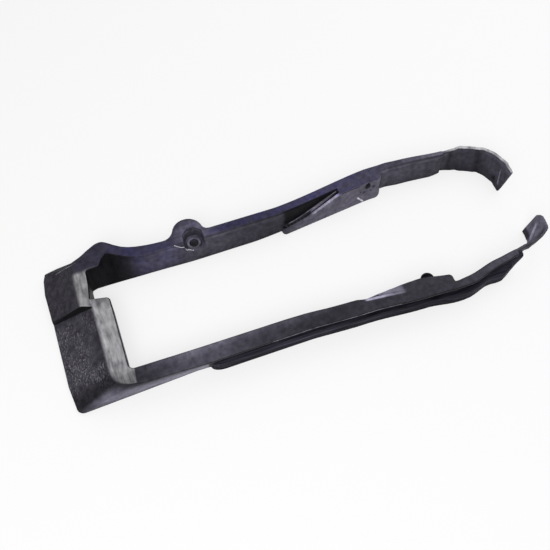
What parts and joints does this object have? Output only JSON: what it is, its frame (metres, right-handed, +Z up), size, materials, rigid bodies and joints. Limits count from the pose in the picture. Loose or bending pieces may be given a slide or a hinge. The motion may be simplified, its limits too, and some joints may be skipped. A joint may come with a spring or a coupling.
{
  "type": "chain slider",
  "caption": "U-shaped moulded plastic chain slider for a motorcycle swingarm, with a ramped nose, a bolt lug, guide walls, a rub rail and curled tail flaps.",
  "frame": {"origin": "centre of the footprint, on the surface that the piece lies on", "axes": "+X along the arms from the nose to the tails, +Y from the arm with the rub rail to the arm with the bolt lug, +Z up across the width of the strip"},
  "size_m": [0.3494, 0.121, 0.022],
  "materials": {
    "black_plastic": "satin"
  },
  "bodies": {
    "root": {"chain_slider": "black_plastic"}
  },
  "joints": []
}
